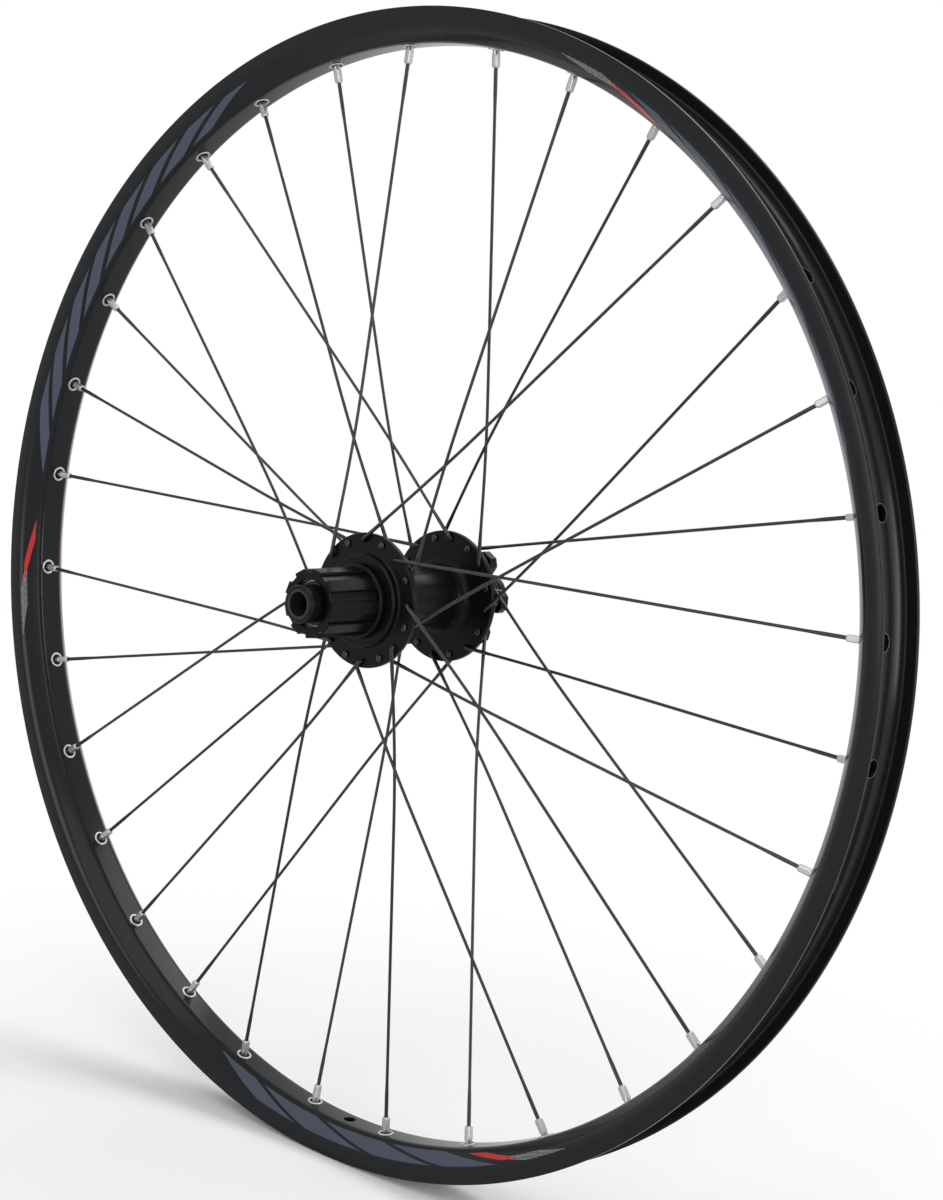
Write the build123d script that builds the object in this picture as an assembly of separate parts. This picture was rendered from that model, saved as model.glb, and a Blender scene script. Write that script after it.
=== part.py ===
from build123d import *
from math import atan2, cos, degrees, radians, sin
import os

# Rear bicycle wheel in millimetres, +Z up. The origin is the wheel's centre.
# +Y runs along the axle from the drive side (sprockets) to the brake side (disc),
# +X points forwards, and the valve hole is at the bottom.

# Rim: a rolled hoop with a hollow box section and a tyre channel round the outside
BEAD_SEAT_DIAMETER = 584.0
BEAD_WALL_HEIGHT = 6.0
BEAD_WALL_THICKNESS = 2.2
RIM_WIDTH = 31.5
RIM_DEPTH = 17.2
SIDE_WALL_HEIGHT = 9.5
SPOKE_FACE_WIDTH = 14.4
SPOKE_WALL_THICKNESS = 1.6
SIDE_WALL_THICKNESS = 2.0
TYRE_BED_THICKNESS = 1.8
WELL_DEPTH = 1.9
WELL_WIDTH = 11.0
SPOKE_HOLE_WIDTH = 5.0
VALVE_HOLE_DIAMETER = 6.5

# Lacing: every second spoke goes to the same flange, leaning forwards and back in turn
SPOKES_PER_FLANGE = 16
CROSSES = 2
SPOKE_STAGGER = 1.4
WIRE_DIAMETER = 2.0
WIRE_SIDES = 6
SPOKE_HEAD_DIAMETER = 3.8
SPOKE_HEAD_HEIGHT = 1.2
SPOKE_HEAD_SINK = 0.15
OUTER_ELBOW_STANDOFF = 2.3
INNER_ELBOW_STANDOFF = 1.3
WOVEN_GAP = 0.2

# Nipples: square wrench flats below a wide head that bears on the spoke wall from inside
NIPPLE_FLATS = 3.2
NIPPLE_REACH = 10.0
NIPPLE_HEAD_WIDTH = 6.0
NIPPLE_HEAD_HEIGHT = 2.0
NIPPLE_SEAT_GAP = 0.7

# Hub shell
DRIVE_FLANGE_Y = -25.2
BRAKE_FLANGE_Y = 34.5
SPOKE_CIRCLE_DIAMETER = 61.5
FLANGE_EDGE_WIDTH = 3.75
FLANGE_THICKNESS = 3.2
FLANGE_HOLE_WIDTH = 2.4
DRIVE_ROOT_DIAMETER = 42.0
DRIVE_ROOT_LENGTH = 8.0
BRAKE_ROOT_DIAMETER = 38.0
WAIST_DIAMETER = 31.0
WAIST_TAPER_LENGTH = 5.0
HUB_BORE_DIAMETER = 20.0
RATCHET_BOSS_DIAMETER = 48.0
RATCHET_BOSS_Y = -30.6

# Flats round the turned outside of the hub shell, freehub body and end caps, and in plain bores
TURNED_SIDES = 32
BORE_SIDES = 12

# Ratchet teeth inside the drive end of the hub shell
RATCHET_TEETH = 24
RATCHET_TIP_DIAMETER = 34.4
RATCHET_ROOT_DIAMETER = 37.6
RATCHET_FLOOR_Y = -18.6

# Brake disc seat: six bolts on a circle round a locating spigot
DISC_SEAT_Y = 55.2
DISC_SEAT_THICKNESS = 5.5
DISC_BOLT_COUNT = 6
DISC_BOLT_CIRCLE = 44.0
DISC_BOLT_DIAMETER = 5.0
DISC_LUG_WIDTH = 12.0
DISC_LUG_DIAMETER = 54.0
DISC_LUG_CORNER = 3.0
SPIGOT_DIAMETER = 34.9
SPIGOT_HEIGHT = 2.8

# Axle, end caps and cartridge bearings
OVER_END_WIDTH = 148.0
THROUGH_BORE_DIAMETER = 12.1
AXLE_DIAMETER = 15.0
END_CAP_DIAMETER = 19.0
DRIVE_CAP_LENGTH = 11.5
BEARING_DIAMETER = 24.0
BEARING_WIDTH = 5.0
BEARING_SIDES = 12
RUNNING_CLEARANCE = 0.03

# Freehub body: splined outside, with a pawl boss that reaches into the ratchet
FREEHUB_SPLINES = 9
SPLINE_DIAMETER = 34.5
SPLINE_ROOT_DIAMETER = 31.4
SPLINE_WIDTH = 6.4
SPLINE_LENGTH = 32.0
STOP_RING_DIAMETER = 38.0
STOP_RING_WIDTH = 3.4
HUB_GAP = 0.5
PAWL_BOSS_DIAMETER = 32.8
PAWL_BOSS_GAP = 1.6
BOSS_BORE_DIAMETER = 18.6
BEARING_SHOULDER_INSET = 1.5

# Pawls: three small levers that swing out into the ratchet teeth, angles in degrees
PAWL_COUNT = 3
PAWL_PIVOT_RADIUS = 14.2
PAWL_THICKNESS = 2.8
PAWL_BELLY_LENGTH = 3.9
PAWL_TIP_DEPTH = 1.5
PAWL_SPAN = 2
PAWL_PLAY = 2.5
PAWL_WIDTH = 6.6
PAWL_SIDE_GAP = 0.4
PAWL_HEEL_CLEARANCE = 0.05
PAWL_TIP_GAP = 0.9
PAWL_POCKET_DEPTH = 3.2
PAWL_POCKET_EDGE = 0.4

# Values worked out from the sizes above
RIM_RADIUS = BEAD_SEAT_DIAMETER / 2 + BEAD_WALL_HEIGHT
SPOKE_FACE_RADIUS = RIM_RADIUS - RIM_DEPTH
SPOKE_SEAT_RADIUS = SPOKE_FACE_RADIUS + SPOKE_WALL_THICKNESS
SPOKE_WALL_RADIUS = (SPOKE_FACE_RADIUS + SPOKE_SEAT_RADIUS) / 2
WELL_RADIUS = BEAD_SEAT_DIAMETER / 2 - WELL_DEPTH
SPOKE_COUNT = 2 * SPOKES_PER_FLANGE
SPOKE_PITCH = 360 / SPOKE_COUNT
LACING_TURN = CROSSES * 360 / SPOKES_PER_FLANGE
HOLE_RADIUS = SPOKE_CIRCLE_DIAMETER / 2
FLANGE_RADIUS = HOLE_RADIUS + FLANGE_EDGE_WIDTH
WIRE_RADIUS = WIRE_DIAMETER / 2
AXLE_RADIUS = AXLE_DIAMETER / 2
AXLE_END_Y = OVER_END_WIDTH / 2
BEARING_SEAT_RADIUS = BEARING_DIAMETER / 2 + RUNNING_CLEARANCE
DRIVE_CAP_Y = DRIVE_CAP_LENGTH - AXLE_END_Y
SPIGOT_Y = DISC_SEAT_Y + SPIGOT_HEIGHT
STOP_RING_Y = RATCHET_BOSS_Y - HUB_GAP
SPLINE_START_Y = STOP_RING_Y - STOP_RING_WIDTH
FREEHUB_END_Y = SPLINE_START_Y - SPLINE_LENGTH
FREEHUB_SHOULDER_Y = STOP_RING_Y + BEARING_SHOULDER_INSET
PAWL_BOSS_Y = RATCHET_FLOOR_Y - PAWL_BOSS_GAP
PAWL_TIP_RADIUS = (RATCHET_TIP_DIAMETER + RATCHET_ROOT_DIAMETER) / 4
PAWL_TIP_ANGLE = PAWL_SPAN * 360 / RATCHET_TEETH - PAWL_PLAY

# Inboard face of each hub bearing
DRIVE_BEARING_Y = RATCHET_FLOOR_Y + BEARING_WIDTH
BRAKE_BEARING_Y = SPIGOT_Y - BEARING_WIDTH


def around(radius, angle, y=0.0):
    """The point at a radius and an angle in degrees, counted from +X towards +Z."""
    return Vector(radius * cos(radians(angle)), y, radius * sin(radians(angle)))


def radial_plane(radius, angle, y=0.0):
    """A plane facing away from the axle, with its own x along the axle."""
    return Plane(around(radius, angle, y), x_dir=(0, 1, 0), z_dir=around(1, angle))


def side_plane(y):
    """A plane facing the drive side, whose polar angles run from +X towards +Z."""
    return Plane((0, y, 0), x_dir=(1, 0, 0), z_dir=(0, -1, 0))


def round_bar(radius, start_y, end_y):
    """A round body about the axle."""
    corners = [(0, start_y), (radius, start_y), (radius, end_y), (0, end_y)]
    return revolve(make_face(Polyline(*corners, close=True)), Axis.Y)


def polygon_across(width, sides):
    """A regular polygon measured across its flats."""
    return RegularPolygon(width / 2, sides, major_radius=False)


def square_across(width):
    return Rectangle(width, width)


def lean_between(start, end, length):
    """The lean in degrees of a side that narrows from one width to another over a length."""
    return degrees(atan2((start - end) / 2, length))


def many_sided(start_y, end_y, diameter, sides=TURNED_SIDES):
    """A straight many-sided body about the axle."""
    return tapered(start_y, end_y, diameter, diameter, sides)


def tapered(start_y, end_y, diameter, end_diameter, sides=TURNED_SIDES):
    """A many-sided body about the axle that narrows from its start to its end."""
    reach = abs(end_y - start_y)
    lean = lean_between(diameter, end_diameter, reach)
    place = Plane((0, start_y, 0), x_dir=(1, 0, 0), z_dir=(0, end_y - start_y, 0))
    return place * extrude(polygon_across(diameter, sides), reach, taper=lean)


def nipple_angle(index):
    """Nipples are counted backwards from the top and stand evenly about the valve hole."""
    return 90 + (index + 0.5) * SPOKE_PITCH


def make_rim():
    """The hollow hoop with its spoke holes and valve hole."""
    half = RIM_WIDTH / 2
    bead = half - BEAD_WALL_THICKNESS
    face = SPOKE_FACE_WIDTH / 2
    well = WELL_WIDTH / 2
    seat = BEAD_SEAT_DIAMETER / 2
    shoulder = RIM_RADIUS - SIDE_WALL_HEIGHT
    roof = WELL_RADIUS - TYRE_BED_THICKNESS
    outline = Polyline(
        (SPOKE_FACE_RADIUS, -face), (shoulder, -half), (RIM_RADIUS, -half),
        (RIM_RADIUS, -bead), (seat, -bead), (WELL_RADIUS, -well),
        (WELL_RADIUS, well), (seat, bead), (RIM_RADIUS, bead),
        (RIM_RADIUS, half), (shoulder, half), (SPOKE_FACE_RADIUS, face),
        close=True)
    lean = (half - face) / (shoulder - SPOKE_FACE_RADIUS)
    wall = SIDE_WALL_THICKNESS * (1 + lean * lean) ** 0.5
    floor_half = face + lean * SPOKE_WALL_THICKNESS - wall
    roof_half = face + lean * (roof - SPOKE_FACE_RADIUS) - wall
    hollow = Polyline(
        (SPOKE_SEAT_RADIUS, -floor_half), (roof, -roof_half),
        (roof, roof_half), (SPOKE_SEAT_RADIUS, floor_half), close=True)
    hoop = revolve(make_face(outline) - make_face(hollow), Axis.Y)
    drills = []
    for index in range(SPOKE_COUNT):
        y = SPOKE_STAGGER if index % 2 else -SPOKE_STAGGER
        hole = radial_plane(SPOKE_WALL_RADIUS, nipple_angle(index), y) * square_across(SPOKE_HOLE_WIDTH)
        drills.append(extrude(hole, SPOKE_WALL_THICKNESS, both=True))
    valve = radial_plane(WELL_RADIUS, 270) * Circle(VALVE_HOLE_DIAMETER / 2)
    drills.append(extrude(valve, RIM_DEPTH, both=True))
    return hoop - drills


class Spoke:
    """The line of one spoke: flange hole, head, elbow, woven crossing and point in the rim."""

    def __init__(self, index):
        drive_side = index % 2 == 0
        outside = index % 4 < 2
        side = -1 if drive_side else 1
        angle = nipple_angle(index)
        hole_angle = angle + LACING_TURN if outside else angle - LACING_TURN
        flange_y = DRIVE_FLANGE_Y if drive_side else BRAKE_FLANGE_Y
        half = FLANGE_THICKNESS / 2
        standoff = OUTER_ELBOW_STANDOFF if outside else INNER_ELBOW_STANDOFF
        self.way = side if outside else -side
        self.hole = around(HOLE_RADIUS, hole_angle, flange_y)
        self.head = self.hole - Vector(0, self.way * (half - SPOKE_HEAD_SINK), 0)
        self.elbow = self.hole + Vector(0, self.way * (half + standoff), 0)
        self.wall = around(SPOKE_WALL_RADIUS, angle, side * SPOKE_STAGGER)
        near = SPOKE_WALL_RADIUS * sin(radians(SPOKE_PITCH))
        far = HOLE_RADIUS * sin(radians(LACING_TURN - SPOKE_PITCH))
        share = near / (near + far)
        crossing = self.wall + (self.elbow - self.wall) * share
        middle = self.wall.Y + (flange_y - self.wall.Y) * share
        weave = (WIRE_DIAMETER + WOVEN_GAP) / 2
        self.crossing = Vector(crossing.X, middle - self.way * weave, crossing.Z)
        self.outwards = (self.wall - self.crossing).normalized()
        self.end = self.wall - self.outwards * NIPPLE_REACH


def make_spoke(index):
    """A drawn wire with a forged head, bent at the flange and woven at its last crossing."""
    line = Spoke(index)
    start = Plane(line.head, z_dir=(0, line.way, 0))
    wire = start * RegularPolygon(WIRE_RADIUS, WIRE_SIDES)
    path = Polyline(line.head, line.elbow, line.crossing, line.end)
    shaft = sweep(wire, path=path, transition=Transition.RIGHT)
    flats = cos(radians(180 / WIRE_SIDES))
    lean = lean_between(SPOKE_HEAD_DIAMETER * flats, WIRE_DIAMETER * flats, SPOKE_HEAD_HEIGHT)
    head = extrude(RegularPolygon(SPOKE_HEAD_DIAMETER / 2, WIRE_SIDES), SPOKE_HEAD_HEIGHT, taper=lean)
    return shaft + start.offset(-SPOKE_HEAD_HEIGHT) * head


def make_nipple(index):
    """A square shank in line with its spoke, with the head inside the rim's hollow."""
    line = Spoke(index)
    place = Plane(line.wall, x_dir=(0, 1, 0), z_dir=line.outwards)
    seat = SPOKE_WALL_THICKNESS / 2 + NIPPLE_SEAT_GAP
    shank = extrude(place.offset(-NIPPLE_REACH) * square_across(NIPPLE_FLATS), NIPPLE_REACH + seat)
    head = extrude(place.offset(seat) * square_across(NIPPLE_HEAD_WIDTH), NIPPLE_HEAD_HEIGHT)
    return shank + head


def ratchet_outline():
    """Saw teeth: each has a radial driving face and a long slope to the next tip."""
    corners = []
    for tooth in range(RATCHET_TEETH):
        angle = radians(tooth * 360 / RATCHET_TEETH)
        for diameter in (RATCHET_TIP_DIAMETER, RATCHET_ROOT_DIAMETER):
            corners.append((diameter / 2 * cos(angle), diameter / 2 * sin(angle)))
    return make_face(Polyline(*corners, close=True))


def disc_seat_outline():
    """Three crossed bars with cut corners give a lug for each bolt."""
    bar = Rectangle(DISC_LUG_DIAMETER, DISC_LUG_WIDTH)
    bar = chamfer(bar.vertices(), DISC_LUG_CORNER)
    outline = Sketch()
    for turn in range(DISC_BOLT_COUNT // 2):
        outline += Rot(0, 0, turn * 360 / DISC_BOLT_COUNT) * bar
    return outline


def make_hub_shell():
    """Flanges, ratchet housing, waist and disc seat in one turned and milled piece."""
    flange = 2 * FLANGE_RADIUS
    half = FLANGE_THICKNESS / 2
    drive_outside = DRIVE_FLANGE_Y - half
    drive_inside = DRIVE_FLANGE_Y + half
    brake_outside = BRAKE_FLANGE_Y + half
    brake_inside = BRAKE_FLANGE_Y - half
    root_end = drive_inside + DRIVE_ROOT_LENGTH
    waist_start = root_end + WAIST_TAPER_LENGTH
    waist_end = brake_inside - WAIST_TAPER_LENGTH
    shell = round_bar(SPIGOT_DIAMETER / 2, brake_outside, SPIGOT_Y)
    shell += extrude(side_plane(DISC_SEAT_Y) * disc_seat_outline(), DISC_SEAT_THICKNESS)
    shell += many_sided(brake_outside, brake_inside, flange)
    shell += tapered(brake_inside, waist_end, BRAKE_ROOT_DIAMETER, WAIST_DIAMETER)
    shell += many_sided(waist_end, waist_start, WAIST_DIAMETER)
    shell += tapered(root_end, waist_start, DRIVE_ROOT_DIAMETER, WAIST_DIAMETER)
    shell += many_sided(root_end, drive_inside, DRIVE_ROOT_DIAMETER)
    shell += many_sided(drive_inside, drive_outside, flange)
    shell += many_sided(drive_outside, RATCHET_BOSS_Y, RATCHET_BOSS_DIAMETER)
    shell -= many_sided(DRIVE_BEARING_Y, BRAKE_BEARING_Y, HUB_BORE_DIAMETER, BORE_SIDES)
    shell -= round_bar(BEARING_SEAT_RADIUS, RATCHET_FLOOR_Y, DRIVE_BEARING_Y)
    shell -= round_bar(BEARING_SEAT_RADIUS, BRAKE_BEARING_Y, SPIGOT_Y)
    shell -= extrude(side_plane(RATCHET_FLOOR_Y) * ratchet_outline(), RATCHET_FLOOR_Y - RATCHET_BOSS_Y)
    drills = []
    for index in range(SPOKE_COUNT):
        line = Spoke(index)
        hole = Plane(line.hole, z_dir=(0, line.way, 0)) * square_across(FLANGE_HOLE_WIDTH)
        drills.append(extrude(hole, FLANGE_THICKNESS, both=True))
    for bolt in range(DISC_BOLT_COUNT):
        place = around(DISC_BOLT_CIRCLE / 2, bolt * 360 / DISC_BOLT_COUNT, DISC_SEAT_Y)
        hole = Plane(place, x_dir=(1, 0, 0), z_dir=(0, -1, 0)) * Circle(DISC_BOLT_DIAMETER / 2)
        drills.append(extrude(hole, DISC_SEAT_THICKNESS))
    return shell - drills


def make_axle():
    """A hollow shaft that the through axle passes."""
    bore = round_bar(THROUGH_BORE_DIAMETER / 2, -AXLE_END_Y, AXLE_END_Y)
    return round_bar(AXLE_RADIUS, -AXLE_END_Y, AXLE_END_Y) - bore


def make_end_cap(inner_y, outer_y):
    """A sleeve over the axle's end that stands against the outer bearing."""
    return many_sided(inner_y, outer_y, END_CAP_DIAMETER) - round_bar(AXLE_RADIUS, inner_y, outer_y)


def make_bearing(brake_face_y):
    """A sealed cartridge that runs from its brake-side face towards the drive side."""
    ring = RegularPolygon(BEARING_DIAMETER / 2, BEARING_SIDES) - polygon_across(AXLE_DIAMETER, BEARING_SIDES)
    return extrude(side_plane(brake_face_y) * ring, BEARING_WIDTH)


def spline_outline():
    """Straight-sided ridges round the root circle."""
    outline = RegularPolygon(SPLINE_ROOT_DIAMETER / 2, 4 * FREEHUB_SPLINES)
    for ridge in range(FREEHUB_SPLINES):
        turn = Rot(0, 0, ridge * 360 / FREEHUB_SPLINES)
        outline += turn * Pos(SPLINE_DIAMETER / 4, 0) * Rectangle(SPLINE_DIAMETER / 2, SPLINE_WIDTH)
    return outline


def pawl_outline():
    """A lever from its round heel to a blunt tip that stands just short of a driving face."""
    half = PAWL_THICKNESS / 2
    top = PAWL_PIVOT_RADIUS + half
    bottom = PAWL_PIVOT_RADIUS - half
    along = cos(radians(PAWL_TIP_ANGLE))
    across = -sin(radians(PAWL_TIP_ANGLE))
    under = PAWL_TIP_RADIUS - PAWL_TIP_DEPTH
    lever = make_face(Polyline(
        (top, 0), (bottom, 0), (bottom, -PAWL_BELLY_LENGTH), (under * along, under * across),
        (PAWL_TIP_RADIUS * along, PAWL_TIP_RADIUS * across), close=True))
    return lever + Pos(PAWL_PIVOT_RADIUS, 0) * Circle(half)


def pocket_outline():
    """The slot that a pawl swings in, open towards the ratchet, with a round seat for its heel."""
    floor = PAWL_PIVOT_RADIUS - PAWL_POCKET_DEPTH
    mouth = RATCHET_ROOT_DIAMETER / 2
    edge = PAWL_POCKET_EDGE
    tip = -PAWL_TIP_RADIUS * sin(radians(PAWL_TIP_ANGLE)) - PAWL_TIP_GAP
    slot = make_face(Polyline((floor, edge), (floor, tip), (mouth, tip), (mouth, edge), close=True))
    return slot + Pos(PAWL_PIVOT_RADIUS, 0) * Circle(PAWL_THICKNESS / 2 + PAWL_HEEL_CLEARANCE)


def pawl_place(index):
    return side_plane(PAWL_BOSS_Y) * Rot(0, 0, index * 360 / PAWL_COUNT)


def make_pawl(index):
    """One pawl in its working place against the teeth."""
    return extrude(pawl_place(index) * pawl_outline(), PAWL_WIDTH)


def make_freehub():
    """The splined carrier with its stop ring, pawl boss, pockets and stepped bore."""
    body = extrude(side_plane(SPLINE_START_Y) * spline_outline(), SPLINE_LENGTH)
    body += many_sided(STOP_RING_Y, SPLINE_START_Y, STOP_RING_DIAMETER)
    body += many_sided(PAWL_BOSS_Y, STOP_RING_Y, PAWL_BOSS_DIAMETER)
    body -= round_bar(BEARING_SEAT_RADIUS, FREEHUB_END_Y, FREEHUB_SHOULDER_Y)
    body -= many_sided(FREEHUB_SHOULDER_Y, PAWL_BOSS_Y, BOSS_BORE_DIAMETER, BORE_SIDES)
    for index in range(PAWL_COUNT):
        body -= extrude(pawl_place(index) * pocket_outline(), PAWL_WIDTH + PAWL_SIDE_GAP)
    return body


def save(shape, node):
    export_step(shape, f"parts/{node}.step")


def save_group(shapes, node):
    save(Compound(children=shapes), node)


os.makedirs("parts", exist_ok=True)
save(make_rim(), "rim")
for number in range(SPOKE_COUNT):
    save(make_spoke(number), f"spoke_{number + 1:02d}")
save_group([make_nipple(number) for number in range(SPOKE_COUNT)], "nipples")
save(make_hub_shell(), "hub_shell")
save(make_axle(), "axle")
save_group([make_end_cap(DRIVE_CAP_Y, -AXLE_END_Y), make_end_cap(SPIGOT_Y, AXLE_END_Y)], "end_caps")
save_group([make_bearing(DRIVE_BEARING_Y), make_bearing(SPIGOT_Y)], "hub_bearings")
save_group([make_bearing(FREEHUB_SHOULDER_Y), make_bearing(DRIVE_CAP_Y + BEARING_WIDTH)], "freehub_bearings")
save(make_freehub(), "freehub")
for number in range(PAWL_COUNT):
    save(make_pawl(number), f"pawl_{number + 1}")
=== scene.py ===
"""Smooth surfaces and finishes of a laced rear bicycle wheel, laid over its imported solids."""

import bpy
import numpy as np
from bpy.props import FloatProperty, FloatVectorProperty, IntProperty, PointerProperty
from bpy.types import Operator, Panel, PropertyGroup
from mathutils import Matrix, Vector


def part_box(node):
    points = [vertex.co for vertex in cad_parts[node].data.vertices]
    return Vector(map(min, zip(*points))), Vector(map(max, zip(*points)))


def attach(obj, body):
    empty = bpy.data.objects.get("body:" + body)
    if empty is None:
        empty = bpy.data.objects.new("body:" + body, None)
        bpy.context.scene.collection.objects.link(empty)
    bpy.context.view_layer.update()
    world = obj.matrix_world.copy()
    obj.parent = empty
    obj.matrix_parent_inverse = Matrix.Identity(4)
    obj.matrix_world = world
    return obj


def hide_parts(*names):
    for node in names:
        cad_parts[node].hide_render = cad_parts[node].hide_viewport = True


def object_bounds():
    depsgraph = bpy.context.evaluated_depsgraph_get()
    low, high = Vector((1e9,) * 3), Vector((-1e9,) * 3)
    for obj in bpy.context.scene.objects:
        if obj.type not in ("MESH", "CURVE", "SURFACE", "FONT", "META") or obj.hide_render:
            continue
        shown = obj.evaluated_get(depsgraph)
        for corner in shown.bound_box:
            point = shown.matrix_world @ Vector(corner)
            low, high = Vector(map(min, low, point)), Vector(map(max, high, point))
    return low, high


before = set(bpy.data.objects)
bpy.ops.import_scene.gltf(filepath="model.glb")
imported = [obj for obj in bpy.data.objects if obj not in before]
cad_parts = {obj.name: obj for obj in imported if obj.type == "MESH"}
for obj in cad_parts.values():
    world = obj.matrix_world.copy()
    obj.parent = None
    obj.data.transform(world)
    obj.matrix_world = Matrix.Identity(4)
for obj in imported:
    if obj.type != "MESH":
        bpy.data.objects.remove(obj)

bl_info = {
    "name": "Rear Bicycle Wheel",
    "version": (1, 0, 0),
    "blender": (4, 5, 0),
    "location": "View3D > Sidebar > Wheel",
    "description": "Builds the surfaces and finishes of a laced rear wheel over its solids",
    "category": "Object",
}

CAD_BOX = [list(corner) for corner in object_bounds()]
RIM_LOW, RIM_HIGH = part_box("rim")
AXLE_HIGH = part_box("axle")[1]
CAP_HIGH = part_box("end_caps")[1]
TURN = 2 * np.pi
AXLE_WAY = np.array([0.0, 1.0, 0.0])


def length(label, value, words):
    return FloatProperty(name=label, description=words, default=value, unit="LENGTH", precision=5)


def angle(label, degrees, words):
    return FloatProperty(name=label, description=words, default=np.radians(degrees), subtype="ANGLE")


def number(label, value, words, least=1):
    return IntProperty(name=label, description=words, default=value, min=least)


def tint(label, value, words):
    return FloatVectorProperty(name=label, description=words, default=value, subtype="COLOR",
                               min=0.0, max=1.0)


class RimSizes(PropertyGroup):
    """The hollow hoop and its holes."""

    radius: length("Radius", RIM_HIGH[2], "Outside radius over the bead walls")
    width: length("Width", RIM_HIGH[1] - RIM_LOW[1], "Width over the side walls")
    depth: length("Depth", 0.0172, "From the bead wall's edge to the spoke face")
    side_wall: length("Side wall", 0.0095, "Height of the upright side wall")
    bead_height: length("Bead wall height", 0.006, "Height of the bead wall over the tyre bed")
    bead_wall: length("Bead wall", 0.0022, "Thickness of the bead wall")
    spoke_face: length("Spoke face", 0.0144, "Width of the face that the spokes leave")
    well_depth: length("Well depth", 0.0019, "Depth of the centre well in the tyre bed")
    well_width: length("Well width", 0.011, "Width of the centre well")
    spoke_wall: length("Spoke wall", 0.0016, "Thickness of the wall under the nipples")
    side_thickness: length("Side thickness", 0.002, "Thickness of the slanted side walls")
    bed: length("Tyre bed", 0.0018, "Thickness of the tyre bed")
    spoke_hole: length("Spoke hole", 0.0048, "Diameter of the holes under the eyelets")
    access_hole: length("Access hole", 0.0082, "Diameter of the holes in the tyre bed above each nipple")
    valve_hole: length("Valve hole", 0.0065, "Diameter of the valve hole")
    segments: number("Segments", 512, "Facets round the hoop", least=64)


class LacingSizes(PropertyGroup):
    """Spokes, nipples and eyelets."""

    per_flange: number("Spokes per flange", 16, "Spokes on one flange", least=4)
    crosses: number("Crosses", 2, "Spokes of its own flange that each spoke crosses")
    stagger: length("Stagger", 0.0014, "Offset of the spoke holes from the rim's middle")
    wire: length("Wire", 0.002, "Diameter of the spoke wire at both ends")
    butted: length("Butted wire", 0.0016, "Diameter of the drawn-down middle of the spoke")
    butt: length("Butt", 0.012, "Length of the thick wire after the elbow")
    draw: length("Draw", 0.008, "Length over which the wire thins")
    head: length("Head", 0.0038, "Diameter of the spoke head")
    head_height: length("Head height", 0.0012, "Height of the spoke head")
    head_sink: length("Head sink", 0.00015, "How far the head's neck sinks into the flange")
    outer_standoff: length("Outer standoff", 0.0023, "Elbow's distance from the flange, spokes outside")
    inner_standoff: length("Inner standoff", 0.0013, "Elbow's distance from the flange, spokes inside")
    weave_gap: length("Weave gap", 0.0002, "Air between two spokes where they cross")
    elbow_bend: length("Elbow bend", 0.0021, "How far the elbow's curve reaches from its corner")
    weave_bend: length("Weave bend", 0.03, "How far the bend at the crossing reaches")
    nipple_flats: length("Nipple flats", 0.0032, "Width over the wrench flats")
    nipple_reach: length("Nipple reach", 0.010, "How far a nipple stands out of the spoke wall")
    nipple_head: length("Nipple head", 0.006, "Diameter of the nipple head inside the rim")
    seat_gap: length("Seat gap", 0.0007, "Air between the spoke wall and the nipple's head")
    eyelet: length("Eyelet", 0.0085, "Outside diameter of the eyelet ring")
    eyelet_bore: length("Eyelet bore", 0.0058, "Inside diameter of the eyelet ring")


class HubSizes(PropertyGroup):
    """The hub shell with its flanges, ratchet teeth and disc seat."""

    drive_flange: length("Drive flange", -0.0252, "Place of the drive-side flange along the axle")
    brake_flange: length("Brake flange", 0.0345, "Place of the brake-side flange along the axle")
    spoke_circle: length("Spoke circle", 0.0615, "Diameter of the circle of spoke holes")
    flange_edge: length("Flange edge", 0.00375, "From the spoke circle to the flange's edge")
    flange: length("Flange thickness", 0.0032, "Thickness of each flange")
    spoke_hole: length("Flange hole", 0.0025, "Diameter of the spoke holes in the flanges")
    drive_root: length("Drive root", 0.042, "Diameter beside the drive-side flange")
    root_length: length("Root length", 0.008, "Length of the drive-side root")
    brake_root: length("Brake root", 0.038, "Diameter beside the brake-side flange")
    waist: length("Waist", 0.031, "Diameter of the middle")
    taper: length("Taper", 0.005, "Length of the tapers beside the waist")
    bore: length("Bore", 0.020, "Diameter of the bore between the bearings")
    boss: length("Ratchet boss", 0.048, "Diameter of the boss outside the drive-side flange")
    boss_y: length("Boss end", -0.0306, "Drive-side end of the hub shell")
    teeth: number("Ratchet teeth", 24, "Teeth inside the boss", least=3)
    tooth_tip: length("Tooth tips", 0.0344, "Diameter inside the tooth tips")
    tooth_root: length("Tooth roots", 0.0376, "Diameter at the tooth roots")
    tooth_floor: length("Ratchet floor", -0.0186, "Inner end of the ratchet")
    disc_seat: length("Disc seat", 0.0552, "Place of the brake disc's face")
    seat_thickness: length("Seat thickness", 0.0055, "Thickness of the disc seat")
    bolts: number("Disc bolts", 6, "Bolts of the brake disc", least=3)
    bolt_circle: length("Bolt circle", 0.044, "Diameter of the bolt circle")
    bolt: length("Bolt", 0.005, "Diameter of the bolt holes")
    lug_width: length("Lug width", 0.012, "Width of each bolt lug")
    lug: length("Lug diameter", 0.054, "Diameter over the lugs")
    lug_corner: length("Lug corner", 0.003, "Size of the cut corners on a lug")
    spigot: length("Spigot", 0.0349, "Diameter of the disc's locating spigot")
    spigot_height: length("Spigot height", 0.0028, "Height of the spigot over the seat")


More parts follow.
